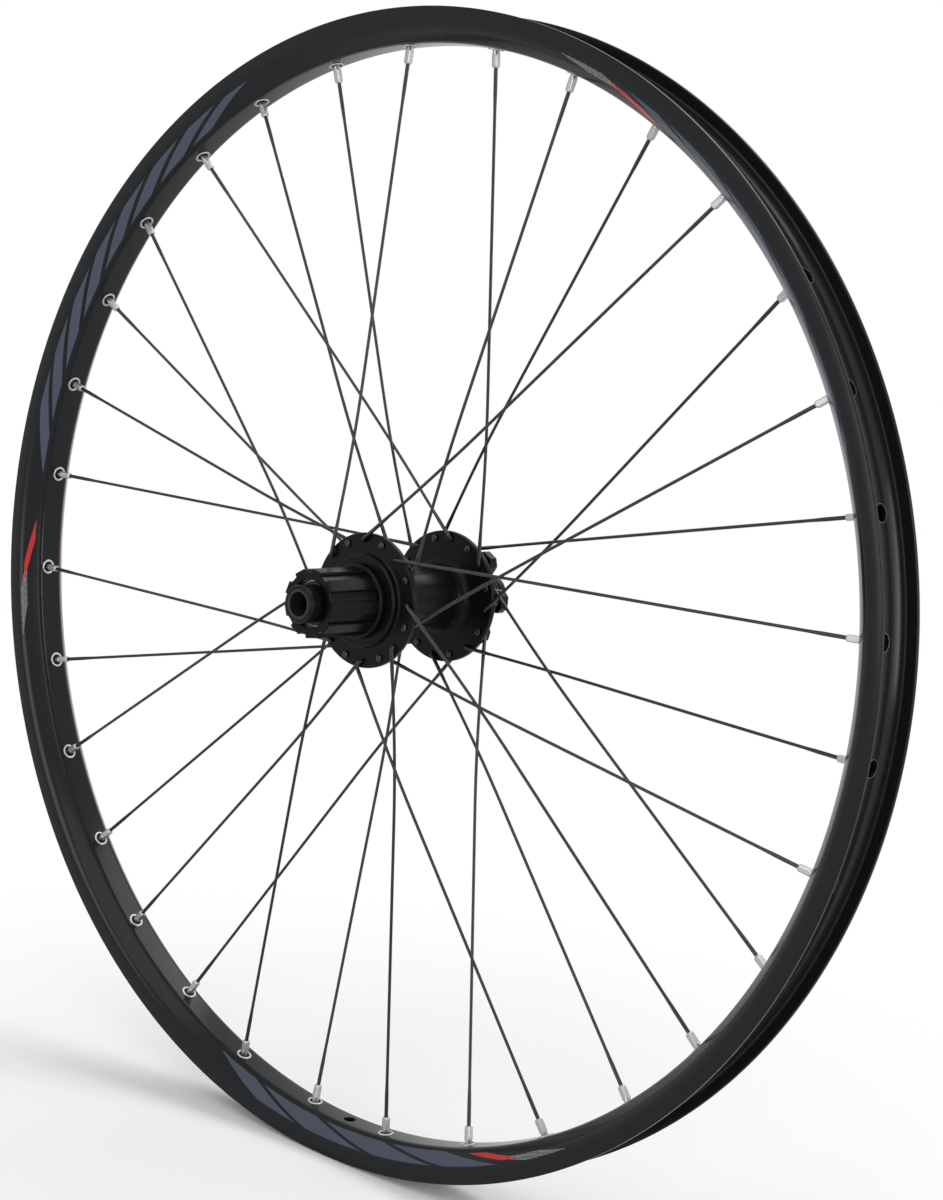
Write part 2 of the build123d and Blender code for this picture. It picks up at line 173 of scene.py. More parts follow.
class FreehubSizes(PropertyGroup):
    """The splined freehub body and its pawl pockets."""

    splines: number("Splines", 9, "Ridges round the body", least=3)
    ridge: length("Ridge diameter", 0.0345, "Diameter over the ridges")
    root: length("Root diameter", 0.0314, "Diameter between the ridges")
    ridge_width: length("Ridge width", 0.0064, "Width of one ridge")
    spline_length: length("Spline length", 0.032, "Length of the ridges")
    stop_ring: length("Stop ring", 0.038, "Diameter of the ring that stops the sprockets")
    stop_width: length("Stop ring width", 0.0034, "Width of the stop ring")
    hub_gap: length("Hub gap", 0.0005, "Air between the stop ring and the hub shell")
    pawl_boss: length("Pawl boss", 0.0328, "Diameter of the boss inside the ratchet")
    boss_gap: length("Boss gap", 0.0016, "Air between the pawl boss and the ratchet's floor")
    boss_bore: length("Boss bore", 0.0186, "Bore of the pawl boss")
    shoulder_inset: length("Shoulder inset", 0.0015, "From the stop ring's face to the bearing shoulder")
    pawls: number("Pawls", 3, "Pawls round the boss")
    pivot: length("Pawl pivot", 0.0142, "Radius of the pawl pivots")
    seat: length("Heel seat", 0.00145, "Radius of the round seat of a pawl's heel")
    pocket_floor: length("Pocket floor", 0.011, "Radius of a pocket's floor")
    pocket_tip: length("Pocket end", 0.00921, "From the pivot to the pocket's far end")
    pocket_edge: length("Pocket edge", 0.0004, "From the pivot to the pocket's near edge")
    pocket_width: length("Pocket width", 0.007, "Width of a pocket along the axle")


class AxleSizes(PropertyGroup):
    """Axle, end caps and bearings."""

    end: length("End", AXLE_HIGH[1], "From the middle to the axle's end")
    through: length("Through bore", 0.0121, "Bore for the through axle")
    axle: length("Axle", AXLE_HIGH[0] * 2, "Outside diameter of the axle")
    cap: length("End cap", CAP_HIGH[0] * 2, "Diameter of the end caps")
    drive_cap: length("Drive cap length", 0.0115, "Length of the drive-side end cap")
    bearing: length("Bearing", 0.024, "Outside diameter of the cartridge bearings")
    bearing_seat: length("Bearing seat", 0.02406, "Diameter of the bearing seats")
    bearing_width: length("Bearing width", 0.005, "Width of the cartridge bearings")


class Finishes(PropertyGroup):
    """Colours of the finishes."""

    rim_black: tint("Rim black", (0.0066, 0.0077, 0.0085), "Satin black of the rim")
    field_grey: tint("Field grey", (0.056, 0.064, 0.092), "Slate grey of the printed fields")
    accent_red: tint("Accent red", (0.42, 0.024, 0.026), "Red of the small printed accents")
    print_pale: tint("Pale print", (0.3, 0.31, 0.33), "Pale grey of the fine printed ticks")
    hub_black: tint("Hub black", (0.003, 0.0031, 0.0034), "Satin black of the hub shell and end caps")
    freehub_black: tint("Freehub black", (0.003, 0.003, 0.0032), "Hard black of the freehub body")
    spoke_black: tint("Spoke black", (0.0052, 0.0052, 0.0057), "Black of the spokes")
    silver: tint("Silver", (0.36, 0.36, 0.36), "Silver of the nipples")
    eyelet_silver: tint("Eyelet silver", (0.4, 0.4, 0.4), "Silver of the eyelets")
    ring_grey: tint("Ring grey", (0.13, 0.13, 0.13), "Dull grey of the thin rings in the tyre bed")
    axle_grey: tint("Axle grey", (0.03, 0.03, 0.032), "Dark turned grey of the axle")
    steel: tint("Steel", (0.48, 0.48, 0.49), "Ground steel of bearings and pawls")
    seal: tint("Seal", (0.012, 0.012, 0.012), "Black rubber of the bearing seals")
    floor: tint("Floor", (0.96, 0.96, 0.96), "Pale floor")


class StageSizes(PropertyGroup):
    """The camera."""

    azimuth: angle("Azimuth", 40.508, "Camera's turn from the drive side to the front")
    elevation: angle("Elevation", 7.914, "Camera's height over the axle")
    roll: angle("Roll", 5.722, "Camera's turn about its own line of sight")
    place: FloatVectorProperty(name="Place", description="Camera's place", subtype="TRANSLATION",
                               default=(0.84675, -0.93438, 0.1781))
    lens: FloatProperty(name="Lens", description="Focal length in millimetres", default=74.073, min=1.0)


class WheelSettings(PropertyGroup):
    """All sizes and finishes of the wheel."""

    rim: PointerProperty(type=RimSizes)
    lacing: PointerProperty(type=LacingSizes)
    hub: PointerProperty(type=HubSizes)
    freehub: PointerProperty(type=FreehubSizes)
    axle: PointerProperty(type=AxleSizes)
    finish: PointerProperty(type=Finishes)
    stage: PointerProperty(type=StageSizes)


def settings():
    return bpy.context.scene.wheel_settings


def unit(vectors):
    return vectors / np.linalg.norm(vectors, axis=-1, keepdims=True)


def angles(count):
    return np.arange(count) * TURN / count


def polar(radius, turn, y):
    """Points (r cos a, y, r sin a)."""
    radius, turn, y = np.broadcast_arrays(radius, turn, y)
    return np.stack([radius * np.cos(turn), y, radius * np.sin(turn)], axis=-1)


def circle(u, v, sides):
    """Rings u cos a + v sin a, one for each pair of vectors."""
    a = angles(sides)[:, None]
    return u[..., None, :] * np.cos(a) + v[..., None, :] * np.sin(a)


def bend(start, corner, end, steps):
    """Curves (1-t)^2 A + 2t(1-t) P + t^2 C from A to C with the corner P, t from 0 to 1."""
    t = np.linspace(0, 1, steps)[None, :, None]
    return (1 - t) ** 2 * start[:, None] + 2 * t * (1 - t) * corner[:, None] + t ** 2 * end[:, None]


def rounded(rows, steps):
    """A closed outline from rows of (radius, y, rounding). Each corner becomes a bend between two points that
    lie a rounding away from it on its two sides, or a share of a side that is shorter."""
    share = 0.45
    table = np.asarray(rows, float)
    corner, reach = table[:, :2], table[:, 2:]
    ends = []
    for shift in (1, -1):
        side = np.roll(corner, shift, 0) - corner
        size = np.linalg.norm(side, axis=1, keepdims=True)
        ends.append(corner + side / size * np.minimum(reach, share * size))
    return bend(ends[0], corner, ends[1], steps).reshape(-1, 2)


def turned(radius, y, segments):
    """Rows of (r cos a, y, r sin a): r and y run along an outline, a runs round the axle. The radius may
    also be a table with its own value for every outline point and angle."""
    return polar(radius[:, None] if radius.ndim == 1 else radius, angles(segments), np.asarray(y)[:, None])


def ring_quads(rows, columns, wrap_rows=True):
    """Quads of a grid whose columns close on themselves, and its rows too where wrap_rows is set."""
    i, j = np.meshgrid(np.arange(rows if wrap_rows else rows - 1), np.arange(columns), indexing="ij")
    below = (i + 1) % rows
    right = (j + 1) % columns
    return np.stack([i * columns + j, i * columns + right, below * columns + right, below * columns + j],
                    axis=-1).reshape(-1, 4)


def facing(points, quads, outwards=True):
    """The quads turned so that the sum of a.(b x c) over their triangles, six times the volume, is positive
    for a body and negative for a hollow."""
    a, b, c, d = (points[quads[:, n]] for n in range(4))
    volume = np.einsum("ij,ij->", a, np.cross(b, c)) + np.einsum("ij,ij->", a, np.cross(c, d))
    return quads if (volume > 0) == outwards else quads[:, ::-1]


def shell(rows, outwards=True):
    """A surface from rows of points that closes on itself both ways, as a part for mesh_from."""
    points = rows.reshape(-1, 3)
    return points, [facing(points, ring_quads(*rows.shape[:2]), outwards)]


def lathe(rows, segments, steps=5, outwards=True):
    """A closed body turned about the axle from rows of (radius, y, rounding)."""
    return shell(turned(*rounded(rows, steps).T, segments), outwards)


def milled(rows, corners, change):
    """A body like a turned one whose radius changes round the axle at the numbered corners of its rows."""
    steps = 5
    radius, y = rounded(rows, steps).T
    share = np.zeros(len(rows))
    share[corners] = 1.0
    return shell(turned(radius[:, None] + np.outer(np.repeat(share, steps), change), y, len(change)))


def capped_tubes(rows):
    """Tubes from rows shaped (tube, station, side, 3). Each first and last ring closes with one cap."""
    tubes, stations, sides = rows.shape[:3]
    wall = ring_quads(stations, sides, wrap_rows=False)
    ring = np.arange(sides)[None]
    tables = [wall, ring[:, ::-1], ring + (stations - 1) * sides]
    first = rows[0].reshape(-1, 3)
    if (facing(first - first.mean(0), wall) != wall).any():
        tables = [table[:, ::-1] for table in tables]
    offset = (np.arange(tubes) * stations * sides)[:, None, None]
    return rows.reshape(-1, 3), [(table + offset).reshape(-1, table.shape[1]) for table in tables]


def rods(starts, ends, diameter, sides):
    """Round rods from starts to ends: start + t (end - start) + radius (u cos a + v sin a), t of 0 and 1.
    Both u and v stand square to the rod, and u also to the axle, or to x where the rod lies along it."""
    near = 0.7
    along = unit(ends - starts)
    lengthwise = np.abs(along[:, 1:2]) > near
    u = unit(np.cross(along, np.where(lengthwise, [[1.0, 0.0, 0.0]], AXLE_WAY)))
    ring = diameter / 2 * circle(u, np.cross(along, u), sides)
    return capped_tubes(np.stack([starts[:, None] + ring, ends[:, None] + ring], axis=1))


def drills(low, high, turn, y, diameter, sides=24):
    """Rods that point away from the axle, from one radius to another."""
    return rods(polar(low, turn, y), polar(high, turn, y), diameter, sides)


def prism(outline, y_low, y_high):
    """A straight body from an outline of (x, z) points between two places along the axle."""
    x, z = outline.T
    rows = np.stack([np.stack([x, np.full_like(x, y), z], axis=-1) for y in (y_low, y_high)])
    return capped_tubes(rows[None])


def mesh_from(name, parts):
    """One mesh from several (points, faces) parts, each with tables of quads or of larger caps."""
    points = []
    faces = []
    start = 0
    for part_points, part_faces in parts:
        points.append(part_points)
        for table in part_faces:
            faces.extend((table + start).tolist())
        start += len(part_points)
    mesh = bpy.data.meshes.new(name)
    mesh.from_pydata(np.concatenate(points).tolist(), [], faces)
    mesh.update()
    return mesh


def linked(name, data):
    item = bpy.data.objects.new(name, data)
    bpy.context.scene.collection.objects.link(item)
    return item


def placed(name, data, right, back, place):
    """A lamp or camera with its own x to the right and its own z pointing back."""
    axes = np.stack([right, np.cross(back, right), back], axis=1)
    item = linked(name, data)
    item.matrix_world = Matrix([[*row, spot] for row, spot in zip(axes, place)] + [[0, 0, 0, 1]])
    return item


def piece_from(mesh, name, material, slot, body, *nodes, sharp=35.0):
    """Puts a mesh on the stage as a piece that rides on a body and stands for the named nodes."""
    mesh.polygons.foreach_set("use_smooth", np.ones(len(mesh.polygons), bool))
    mesh.set_sharp_from_angle(angle=np.radians(sharp))
    mesh.materials.clear()
    mesh.materials.append(material)
    piece = linked(name, mesh)
    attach(piece, body)
    if nodes:
        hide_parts(*nodes)


def combined(mesh, other, operation):
    """The mesh with another one cut from it or joined to it, welded and split into even triangles."""
    base = linked("base", mesh)
    tool = linked("tool", other)
    step = base.modifiers.new("step", "BOOLEAN")
    step.operation = operation
    step.solver = "EXACT"
    step.object = tool
    weld = base.modifiers.new("weld", "WELD")
    weld.merge_threshold = 1e-6
    triangles = base.modifiers.new("triangles", "TRIANGULATE")
    triangles.quad_method = "BEAUTY"
    triangles.ngon_method = "BEAUTY"
    graph = bpy.context.evaluated_depsgraph_get()
    result = bpy.data.meshes.new_from_object(base.evaluated_get(graph))
    for item in (base, tool):
        bpy.data.objects.remove(item)
    for used in (mesh, other):
        bpy.data.meshes.remove(used)
    if not len(result.polygons):
        raise RuntimeError("the cut left nothing")
    return result


class Lacing:
    """The lines of all spokes as whole arrays: flange hole, head, elbow, crossing, rim point and end."""

    def __init__(self):
        s = settings()
        lace, hub, rim = s.lacing, s.hub, s.rim
        self.count = 2 * lace.per_flange
        k = np.arange(self.count)
        pitch = TURN / self.count
        turn = lace.crosses * TURN / lace.per_flange
        drive = k % 2 == 0
        outside = k % 4 < 2
        side = np.where(drive, -1.0, 1.0)
        self.angle = TURN / 4 + (k + 0.5) * pitch
        self.stagger = side * lace.stagger
        self.way = np.where(outside, side, -side)[:, None] * AXLE_WAY
        self.face_radius = rim.radius - rim.depth
        wall_radius = self.face_radius + rim.spoke_wall / 2
        hole_radius = hub.spoke_circle / 2
        flange_y = np.where(drive, hub.drive_flange, hub.brake_flange)
        standoff = np.where(outside, lace.outer_standoff, lace.inner_standoff)[:, None]
        half = hub.flange / 2
        self.hole = polar(hole_radius, self.angle + np.where(outside, turn, -turn), flange_y)
        self.head = self.hole - self.way * (half - lace.head_sink)
        self.elbow = self.hole + self.way * (half + standoff)
        self.wall = polar(wall_radius, self.angle, self.stagger)
        near = wall_radius * np.sin(pitch)
        far = hole_radius * np.sin(turn - pitch)
        share = near / (near + far)
        self.crossing = self.wall + (self.elbow - self.wall) * share
        middle = self.stagger + (flange_y - self.stagger) * share
        self.crossing[:, 1] = middle - self.way[:, 1] * (lace.wire + lace.weave_gap) / 2
        self.outwards = unit(self.wall - self.crossing)
        self.end = self.wall - self.outwards * lace.nipple_reach


class Tree:
    """Short calls that add and join nodes in one node tree."""

    def __init__(self, tree):
        self.tree = tree
        self.nodes = tree.nodes

    def add(self, kind, **values):
        node = self.nodes.new(kind)
        for name, value in values.items():
            setattr(node, name, value)
        return node

    def join(self, source, target):
        """A number or colour is set on the socket, and a socket is linked to it."""
        if isinstance(source, bpy.types.NodeSocket):
            self.tree.links.new(source, target)
        else:
            target.default_value = source

    def feed(self, node, *sources):
        """Joins the sources to the node's first sockets, in order."""
        for source, target in zip(sources, node.inputs):
            self.join(source, target)
        return node

    def fill(self, sockets, values):
        """Joins each value to the socket of that name."""
        for name, value in values.items():
            self.join(value, sockets[name])

    def math(self, operation, *values):
        return self.feed(self.add("ShaderNodeMath", operation=operation), *values).outputs[0]

    def times(self, first, second):
        return self.math("MULTIPLY", first, second)

    def minus(self, first, second):
        return self.math("SUBTRACT", first, second)

    def most(self, first, second):
        return self.math("MAXIMUM", first, second)

    def ramp(self, value, low, high):
        """A soft step from 0 to 1 as the value goes from low to high."""
        node = self.add("ShaderNodeMapRange", interpolation_type="SMOOTHSTEP")
        return self.feed(node, value, low, high).outputs[0]

    def mix(self, factor, first, second):
        """A blend of two colours, whose sockets come after those for numbers and vectors."""
        node = self.feed(self.add("ShaderNodeMix", data_type="RGBA"), factor)
        self.join(first, node.inputs[6])
        self.join(second, node.inputs[7])
        return node.outputs[2]

    def noise(self, vector, scale, detail):
        node = self.add("ShaderNodeTexNoise")
        self.fill(node.inputs, {"Vector": vector, "Scale": scale, "Detail": detail})
        return node.outputs["Fac"]

    def bump(self, height, distance):
        node = self.add("ShaderNodeBump")
        self.fill(node.inputs, {"Height": height, "Distance": distance})
        return node.outputs[0]

    def group(self, build, name, values):
        """The outputs of a node with the group of this name, which is built at its first use."""
        node = self.add("ShaderNodeGroup", node_tree=bpy.data.node_groups.get(name) or build(name))
        self.fill(node.inputs, values)
        return node.outputs


def node_group(name, inputs, *outputs):
    """A shader node group. An input without a default is a vector, and every other socket is a number."""
    tree = bpy.data.node_groups.new(name, "ShaderNodeTree")
    for label, default in inputs.items():
        kind = "NodeSocketVector" if default is None else "NodeSocketFloat"
        socket = tree.interface.new_socket(label, in_out="INPUT", socket_type=kind)
        if default is not None:
            socket.default_value = default
    for label in outputs:
        tree.interface.new_socket(label, in_out="OUTPUT", socket_type="NodeSocketFloat")
    work = Tree(tree)
    return work, work.add("NodeGroupInput").outputs, work.add("NodeGroupOutput").inputs


def polar_group(name):
    """Object coordinates as radius and angle about the axle and place along it."""
    work, given, result = node_group(name, {"Vector": None}, "Radius", "Angle", "Axial")
    x, y, z = work.feed(work.add("ShaderNodeSeparateXYZ"), given["Vector"]).outputs
    squares = work.math("ADD", work.times(x, x), work.times(z, z))
    work.fill(result, {"Radius": work.math("SQRT", squares), "Angle": work.math("ARCTAN2", z, x), "Axial": y})
    return work.tree


def axle_polar(work, place):
    return work.group(polar_group, "axle polar", {"Vector": place})


def turning_group(name):
    """Fine lines that run round the axle, as rolling and turning leave them, broken up by slow noise."""
    work, given, result = node_group(
        name, {"Vector": None, "Density": 3000.0, "Breaks": 6.0}, "Lines", "Mottle")
    radius, around, axial = axle_polar(work, given["Vector"])
    spread = work.feed(work.add("ShaderNodeCombineXYZ"), work.times(radius, given["Density"]),
                       work.times(axial, given["Density"]), work.times(around, given["Breaks"]))
    work.fill(result, {"Lines": work.noise(spread.outputs[0], scale=1.0, detail=3.0),
                       "Mottle": work.noise(given["Vector"], scale=70.0, detail=4.0)})
    return work.tree


def turning_lines(work, place, density, breaks):
    return work.group(turning_group, "turning lines", {"Vector": place, "Density": density, "Breaks": breaks})


def bars_group(name):
    """A run of slanted bars printed round a side wall. Bars repeat along the angle, lean with the radius,
    and end at the run's two ends and at an inner and an outer radius."""
    work, given, result = node_group(
        name, {"Angle": 0.0, "Radius": 0.0, "Centre": 0.0, "Half span": 0.3, "Pitch": 0.1, "Fill": 0.7,
               "Lean": 0.0, "Inner radius": 0.28, "Outer radius": 0.29}, "Mask")
    turn_blur = 0.0007
    rise_blur = 0.0002
    away = work.math("WRAP", work.minus(given["Angle"], given["Centre"]), np.pi, -np.pi)
    rise = work.minus(given["Radius"], given["Inner radius"])
    leant = work.minus(away, work.times(rise, given["Lean"]))
    phase = work.math("WRAP", leant, given["Pitch"], 0.0)
    mask = 1.0
    for inside, blur in (
            (work.minus(given["Half span"], work.math("ABSOLUTE", leant)), turn_blur),
            (work.minus(work.times(given["Pitch"], given["Fill"]), phase), turn_blur),
            (rise, rise_blur),
            (work.minus(given["Outer radius"], given["Radius"]), rise_blur)):
        mask = work.times(mask, work.ramp(inside, 0.0, blur))
    work.join(mask, result["Mask"])
    return work.tree


def rgba(colour, level=1.0):
    return (*[min(1.0, part * level) for part in colour], 1.0)


def start_material(name):
    """A material with its node helper, its shader and the object coordinates."""
    material = bpy.data.materials.new(name)
    material.use_nodes = True
    work = Tree(material.node_tree)
    return material, work, work.nodes["Principled BSDF"], work.add("ShaderNodeTexCoord").outputs["Object"]


def metal_finish(name, colour, roughness, density, wear, metallic=0.0, breaks=6.0, specular=0.5):
    """A metal finish: turning lines in the height and roughness, slow mottle in the colour."""
    line_depth = 0.0000015
    line_rough = 0.16
    mottle_rough = 0.08
    material, work, shader, place = start_material(name)
    lines, mottle = turning_lines(work, place, density, breaks)
    rough = work.math("MULTIPLY_ADD", lines, line_rough, roughness - line_rough / 2)
    work.fill(shader.inputs, {
        "Base Color": work.mix(mottle, rgba(colour), rgba(colour, 1 + wear)),
        "Metallic": metallic,
        "Specular IOR Level": specular,
        "Roughness": work.math("MULTIPLY_ADD", mottle, mottle_rough, rough),
        "Normal": work.bump(lines, line_depth)})
    return material


def printed_runs(work, spot, side, inner, outer, runs):
    """The largest of the masks of several runs of bars, each (centre, half span, pitch, fill, lean), on the
    side walls alone."""
    whole = 0.0
    for run in runs:
        sizes = dict(zip(("Centre", "Half span", "Pitch", "Fill", "Lean"), run))
        bars = work.group(bars_group, "slanted bars", {
            "Angle": spot["Angle"], "Radius": spot["Radius"], "Inner radius": inner, "Outer radius": outer,
            **sizes})
        whole = work.most(whole, bars["Mask"])
    return work.times(whole, side)


def rim_finish():
    """Satin black with slate fields, small red accents and fine pale ticks on both side walls, and the sleeve
    joint's fine seam opposite the valve."""
    s = settings()
    rim, finish = s.rim, s.finish
    material, work, shader, place = start_material("rim satin black")
    spot = axle_polar(work, place)
    lines, mottle = turning_lines(work, place, density=2600.0, breaks=3.0)
    inner = rim.radius - rim.depth
    shoulder = rim.radius - rim.side_wall
    edge = rim.spoke_face / 2
    blur = 0.0004
    lean = 22.0
    side = work.ramp(work.math("ABSOLUTE", spot["Axial"]), edge - blur, edge + blur)
    fields = printed_runs(
        work, spot, side, inner + 0.0016, shoulder + 0.0004,
        ((0.62, 0.36, 0.145, 0.8, lean), (2.62, 0.44, 0.115, 0.72, -lean), (4.68, 0.30, 0.17, 0.85, lean)))
    accents = printed_runs(work, spot, side, inner + 0.0022, shoulder - 0.0012,
                           [(centre, 0.022, 0.1, 1.0, lean) for centre in (1.06, 3.16, 5.06)])
    ticks = printed_runs(work, spot, side, shoulder - 0.0026, shoulder + 0.0006,
                         [(centre, 0.05, 0.0125, 0.4, lean) for centre in (1.17, 3.27, 5.17)])
    colour = work.mix(mottle, rgba(finish.rim_black), rgba(finish.rim_black, level=1.35))
    inks = (fields, finish.field_grey), (ticks, finish.print_pale), (accents, finish.accent_red)
    ink = 0.0
    for mask, shade in inks:
        colour = work.mix(mask, colour, rgba(shade))
        ink = work.most(ink, mask)
    seam_core, seam_edge = 0.0004, 0.0011
    line_rise, ink_rise, relief = 0.03, 0.5, 0.00008
    plain_rough, line_rough, field_rough = 0.13, 0.08, 0.03
    off_seam = work.math("ABSOLUTE", work.minus(spot["Angle"], TURN / 4))
    seam = work.minus(1.0, work.ramp(off_seam, seam_core, seam_edge))
    height = work.math("MULTIPLY_ADD", lines, line_rise, work.minus(work.times(ink, ink_rise), seam))
    rough = work.math("MULTIPLY_ADD", lines, line_rough, plain_rough)
    work.fill(shader.inputs, {
        "Base Color": colour,
        "Specular IOR Level": 0.14,
        "Roughness": work.math("MULTIPLY_ADD", fields, field_rough, rough),
        "Normal": work.bump(height, relief)})
    return material


def bearing_finish():
    """Ground steel races either side of a black rubber seal."""
    s = settings()
    axle, finish = s.axle, s.finish
    material, work, shader, place = start_material("bearing steel and seal")
    lines, mottle = turning_lines(work, place, density=5000.0, breaks=2.0)
    seal_share, blur = 0.6, 0.0001
    plain_rough, line_rough, rubber_rough = 0.2, 0.2, 0.3
    middle = (axle.axle + axle.bearing) / 4
    reach = (axle.bearing - axle.axle) / 4 * seal_share
    off = work.math("ABSOLUTE", work.minus(axle_polar(work, place)["Radius"], middle))
    metal = work.ramp(off, reach - blur, reach + blur)
    rubber = work.minus(1.0, metal)
    steel = work.mix(mottle, rgba(finish.steel), rgba(finish.steel, level=0.8))
    rough = work.math("MULTIPLY_ADD", lines, line_rough, plain_rough)
    work.fill(shader.inputs, {
        "Base Color": work.mix(rubber, steel, rgba(finish.seal)),
        "Metallic": metal,
        "Roughness": work.math("MULTIPLY_ADD", rubber, rubber_rough, rough)})
    return material


class WHEEL_OT_rim(Operator):
    """Rolls the hollow rim and drills its spoke, access and valve holes."""

    bl_idname = "wheel.rim"
    bl_label = "Rim"

    def execute(self, context):
        rim = settings().rim
        half = rim.width / 2
        bead = half - rim.bead_wall
        face = rim.spoke_face / 2
        seat = rim.radius - rim.bead_height
        well = seat - rim.well_depth
        inner = rim.radius - rim.depth
        shoulder = rim.radius - rim.side_wall
        roof = well - rim.bed
        flank = [(inner, face, 0.0018), (shoulder, half, 0.0042), (rim.radius, half, 0.0007),
                 (rim.radius, bead, 0.0007), (seat, bead, 0.0012), (well, rim.well_width / 2, 0.0015)]
        body = lathe([(r, -y, bent) for r, y, bent in flank] + flank[::-1], rim.segments, steps=6)
        lean = (half - face) / (shoulder - inner)
        wall = rim.side_thickness * np.hypot(1, lean)
        low = inner + rim.spoke_wall
        low_half = face + lean * rim.spoke_wall - wall
        roof_half = face + lean * (roof - inner) - wall
        soft = 0.001
        space = lathe([(low, -low_half, soft), (roof, -roof_half, soft), (roof, roof_half, soft),
                       (low, low_half, soft)], rim.segments, outwards=False)
        lace = Lacing()
        spots = lace.angle, lace.stagger
        valve = np.array([-TURN / 4]), 0.0
        holes = mesh_from("rim_drills", [
            drills(inner - rim.spoke_wall, low + rim.spoke_wall, *spots, rim.spoke_hole),
            drills(roof - rim.bed, rim.radius, *spots, rim.access_hole),
            drills(inner - rim.depth, rim.radius, *valve, rim.valve_hole, sides=32)])
        mesh = combined(mesh_from("rim_hoop", [body, space]), holes, "DIFFERENCE")
        piece_from(mesh, "rim_hoop", rim_finish(), "rim_black", "wheel", "rim", sharp=32.0)
        return {"FINISHED"}


class WHEEL_OT_eyelets(Operator):
    """Presses a silver ring round each spoke hole and a thin one round each hole in the tyre bed."""

    bl_idname = "wheel.eyelets"
    bl_label = "Eyelets"

    def execute(self, context):
        """A ring is its outline (w, h) carried round each hole: centre + w (across cos a + axle sin a)
        + h out, where out points away from the rim's wall."""
        s = settings()
        lace = Lacing()
        outer = s.lacing.eyelet / 2
        inner = s.lacing.eyelet_bore / 2
        hole = s.rim.access_hole / 2
        bed = s.rim.radius - s.rim.bead_height - s.rim.well_depth
        sink, crown, slope, lip = 0.0002, 0.0006, 0.0003, 0.0004
        fine, soft = 0.0001, 0.0002
        round_ring = rounded(
            [(outer, -sink, fine), (outer, crown / 2, soft), (outer - slope, crown, soft),
             (inner + slope, crown, soft), (inner, crown / 2, soft), (inner, -sink, fine)], steps=4)
        thin_ring = rounded([(hole + lip, -sink, fine), (hole + lip, lip / 2, fine), (hole, lip / 2, fine),
                             (hole, -sink, fine)], steps=3)
        ring = circle(polar(1.0, lace.angle + TURN / 4, 0.0), AXLE_WAY, sides=36)
        outward = polar(1.0, lace.angle, 0.0)
        for name, finish, slot, outline, radius, way in (
                ("eyelet_rings", ("eyelet silver", s.finish.eyelet_silver), "nipple_silver", round_ring,
                 lace.face_radius, -1.0),
                ("bed_rings", ("bed ring grey", s.finish.ring_grey), "axle_grey", thin_ring, bed, 1.0)):
            centre = polar(radius, lace.angle, lace.stagger)
            rows = (centre[:, None, None] + outline[None, :, None, :1] * ring[:, None]
                    + way * outline[None, :, None, 1:] * outward[:, None, None])
            metal = metal_finish(*finish, roughness=0.4, density=1500.0, wear=0.05, metallic=1.0)
            mesh = mesh_from(name, [shell(one) for one in rows])
            piece_from(mesh, name, metal, slot, "wheel", sharp=50.0)
        return {"FINISHED"}


class WHEEL_OT_spokes(Operator):
    """Draws the spokes: forged head, bent elbow, woven crossing and straight run to the nipple."""

    bl_idname = "wheel.spokes"
    bl_label = "Spokes"

    def execute(self, context):
        """Each spoke is a ring carried along its line. The line is straight apart from two bends, and the
        ring's radius swells to the head at the start and thins in the middle. The head's places and radii are
        shares of its height and its radius."""
        s = settings()
        lace, sizes = Lacing(), s.lacing
        wire, butted = sizes.wire / 2, sizes.butted / 2
        thick, thin = sizes.butt, sizes.butt + sizes.draw
        way, last = lace.way, lace.outwards
        run = unit(lace.crossing - lace.elbow)
        neck = np.array([-1.22, -1.2, -1.08, -0.86, -0.62, -0.3, 0.0, 0.12]) * sizes.head_height
        swell = np.array([0.35, 0.62, 0.88, 1.0, 0.96, 0.76, 0.58]) * (sizes.head / 2)
        steps = 11

        def straight(start, places, heading):
            return start[:, None] + np.array(places)[None, :, None] * heading[:, None]

        def curve(corner, before, after, reach):
            return bend(corner - reach * before, corner, corner + reach * after, steps)

        line = np.concatenate([
            straight(lace.head, neck, way),
            curve(lace.elbow, way, run, sizes.elbow_bend),
            straight(lace.elbow, (thick, thin), run),
            curve(lace.crossing, run, last, sizes.weave_bend),
            straight(lace.end, (-thin, -thick, wire), last)], axis=1)
        radius = np.append(swell, np.repeat([wire, butted, wire], [steps + 2, steps + 2, 2]))
        normal = unit(np.cross(way, run))[:, None]
        side = np.cross(unit(np.gradient(line, axis=1)), normal)
        rows = line[:, :, None] + radius[None, :, None, None] * circle(normal, side, sides=16)
        black = metal_finish("spoke black", s.finish.spoke_black, roughness=0.3, density=900.0, wear=0.6,
                             breaks=40.0, specular=0.4)
        for index in range(lace.count):
            name = f"spoke_wire_{index + 1:02d}"
            mesh = mesh_from(name, [capped_tubes(rows[index:index + 1])])
            piece_from(mesh, name, black, "spoke_black", "wheel", f"spoke_{index + 1:02d}", sharp=50.0)
        return {"FINISHED"}


